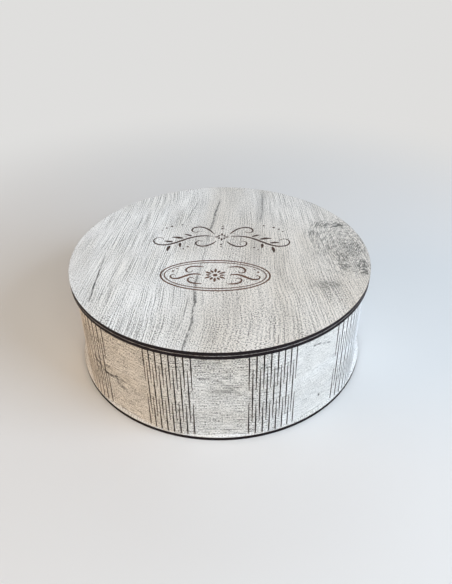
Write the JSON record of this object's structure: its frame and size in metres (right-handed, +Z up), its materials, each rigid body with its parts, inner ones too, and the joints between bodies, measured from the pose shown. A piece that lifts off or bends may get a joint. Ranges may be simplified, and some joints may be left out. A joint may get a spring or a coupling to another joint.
{
  "type": "round wooden gift box",
  "caption": "Round gift box of thin laser-cut wood board, with a bent side wall of flat panels and living hinges, a rim ring and a lift-off lid.",
  "frame": {"origin": "centre of the base's underside", "axes": "+Z up, towards the lid; -Y out of the middle of one flat panel of the wall; +X to that panel's right seen from outside; the wall's seam is in the middle of the panel that faces +Y"},
  "size_m": [0.25, 0.25, 0.0893],
  "materials": {
    "pale_oak_board": "whitewashed oak face on wood-fibre board, edges burnt dark by the cutting",
    "pale_oak_wall": "whitewashed oak face with level grain, slits burnt dark",
    "pale_oak_lid": "whitewashed oak face with fine grain, cracks and a knot, satin"
  },
  "bodies": {
    "box": {"base_panel": "pale_oak_board", "side_wall": "pale_oak_wall", "rim_ring": "pale_oak_board"},
    "lid": {"lid_panel": "pale_oak_lid", "lid_locating_disc": "pale_oak_board"}
  },
  "joints": [
    {"name": "lid_lift", "type": "slide", "parent": "box", "child": "lid", "axis": [0, 0, 1], "range_m": [0, 0.15]}
  ]
}
